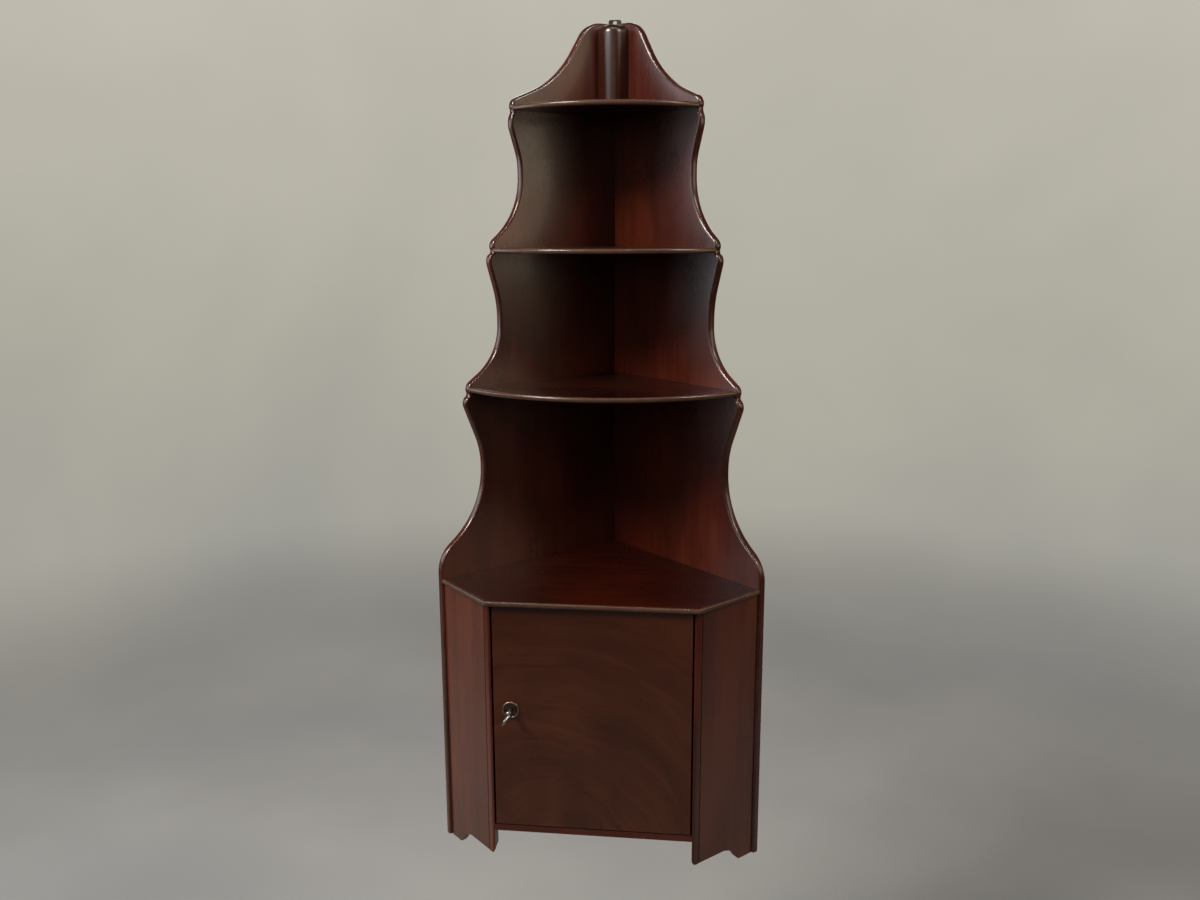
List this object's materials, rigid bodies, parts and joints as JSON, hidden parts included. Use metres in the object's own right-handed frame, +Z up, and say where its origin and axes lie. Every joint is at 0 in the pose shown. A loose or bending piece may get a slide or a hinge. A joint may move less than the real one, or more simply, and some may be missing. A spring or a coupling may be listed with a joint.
{
  "type": "hanging corner shelf with cupboard",
  "caption": "Hanging mahogany corner shelf with waterfall sides, quarter-round shelves and a small canted cupboard with a lock and key below.",
  "frame": {"origin": "centre of the hole in the hanging plate, at the top of the rear corner", "axes": "+Z up, -Y towards the front of the cupboard, +X to the viewer's right"},
  "size_m": [0.3958, 0.3071, 1.0166],
  "materials": {
    "mahogany": "polished",
    "figured_mahogany": "polished",
    "aged_brass": "worn",
    "steel": "worn"
  },
  "bodies": {
    "carcass": {"left_back_board": "mahogany", "right_back_board": "mahogany", "corner_block": "mahogany", "upper_shelf": "mahogany", "middle_shelf": "mahogany", "lower_shelf": "mahogany", "cupboard_top": "mahogany", "cupboard_bottom": "mahogany", "left_cant_panel": "mahogany", "right_cant_panel": "mahogany", "left_front_post": "mahogany", "right_front_post": "mahogany", "door_stop": "mahogany", "upper_carcass_leaf": "aged_brass", "lower_carcass_leaf": "aged_brass", "hanging_plate": "steel", "hanging_plate_screws": "steel", "left_board_screws": "steel", "right_board_screws": "steel", "corner_screws": "steel", "carcass_leaf_screws": "steel"},
    "door": {"door_panel": "figured_mahogany", "upper_door_leaf": "aged_brass", "lower_door_leaf": "aged_brass", "hinge_pins": "steel", "hinge_washers": "aged_brass", "lock_plate": "aged_brass", "lock_cap": "aged_brass", "drill_pin": "steel", "escutcheon": "aged_brass", "door_leaf_screws": "steel", "lock_screws": "steel"},
    "key": {"key": "steel"},
    "bolt": {"lock_bolt": "aged_brass", "bolt_spring": "aged_brass"}
  },
  "joints": [
    {"name": "door_hinge", "type": "hinge", "parent": "carcass", "child": "door", "pos_m": [0.11192, -0.259, -0.8155], "axis": [0, 0, 1], "range_deg": [0, 105]},
    {"name": "key_turn", "type": "hinge", "parent": "door", "child": "key", "pos_m": [-0.09582, -0.2635, -0.8045], "axis": [0, -1, 0], "range_deg": [0, 395]},
    {"name": "bolt_slide", "type": "slide", "parent": "door", "child": "bolt", "axis": [-1, 0, 0], "range_m": [0, 0.0055]}
  ],
  "couplings": [
    {"joint": "bolt_slide", "follows": "key_turn", "m_per_rad": 0.00079}
  ]
}
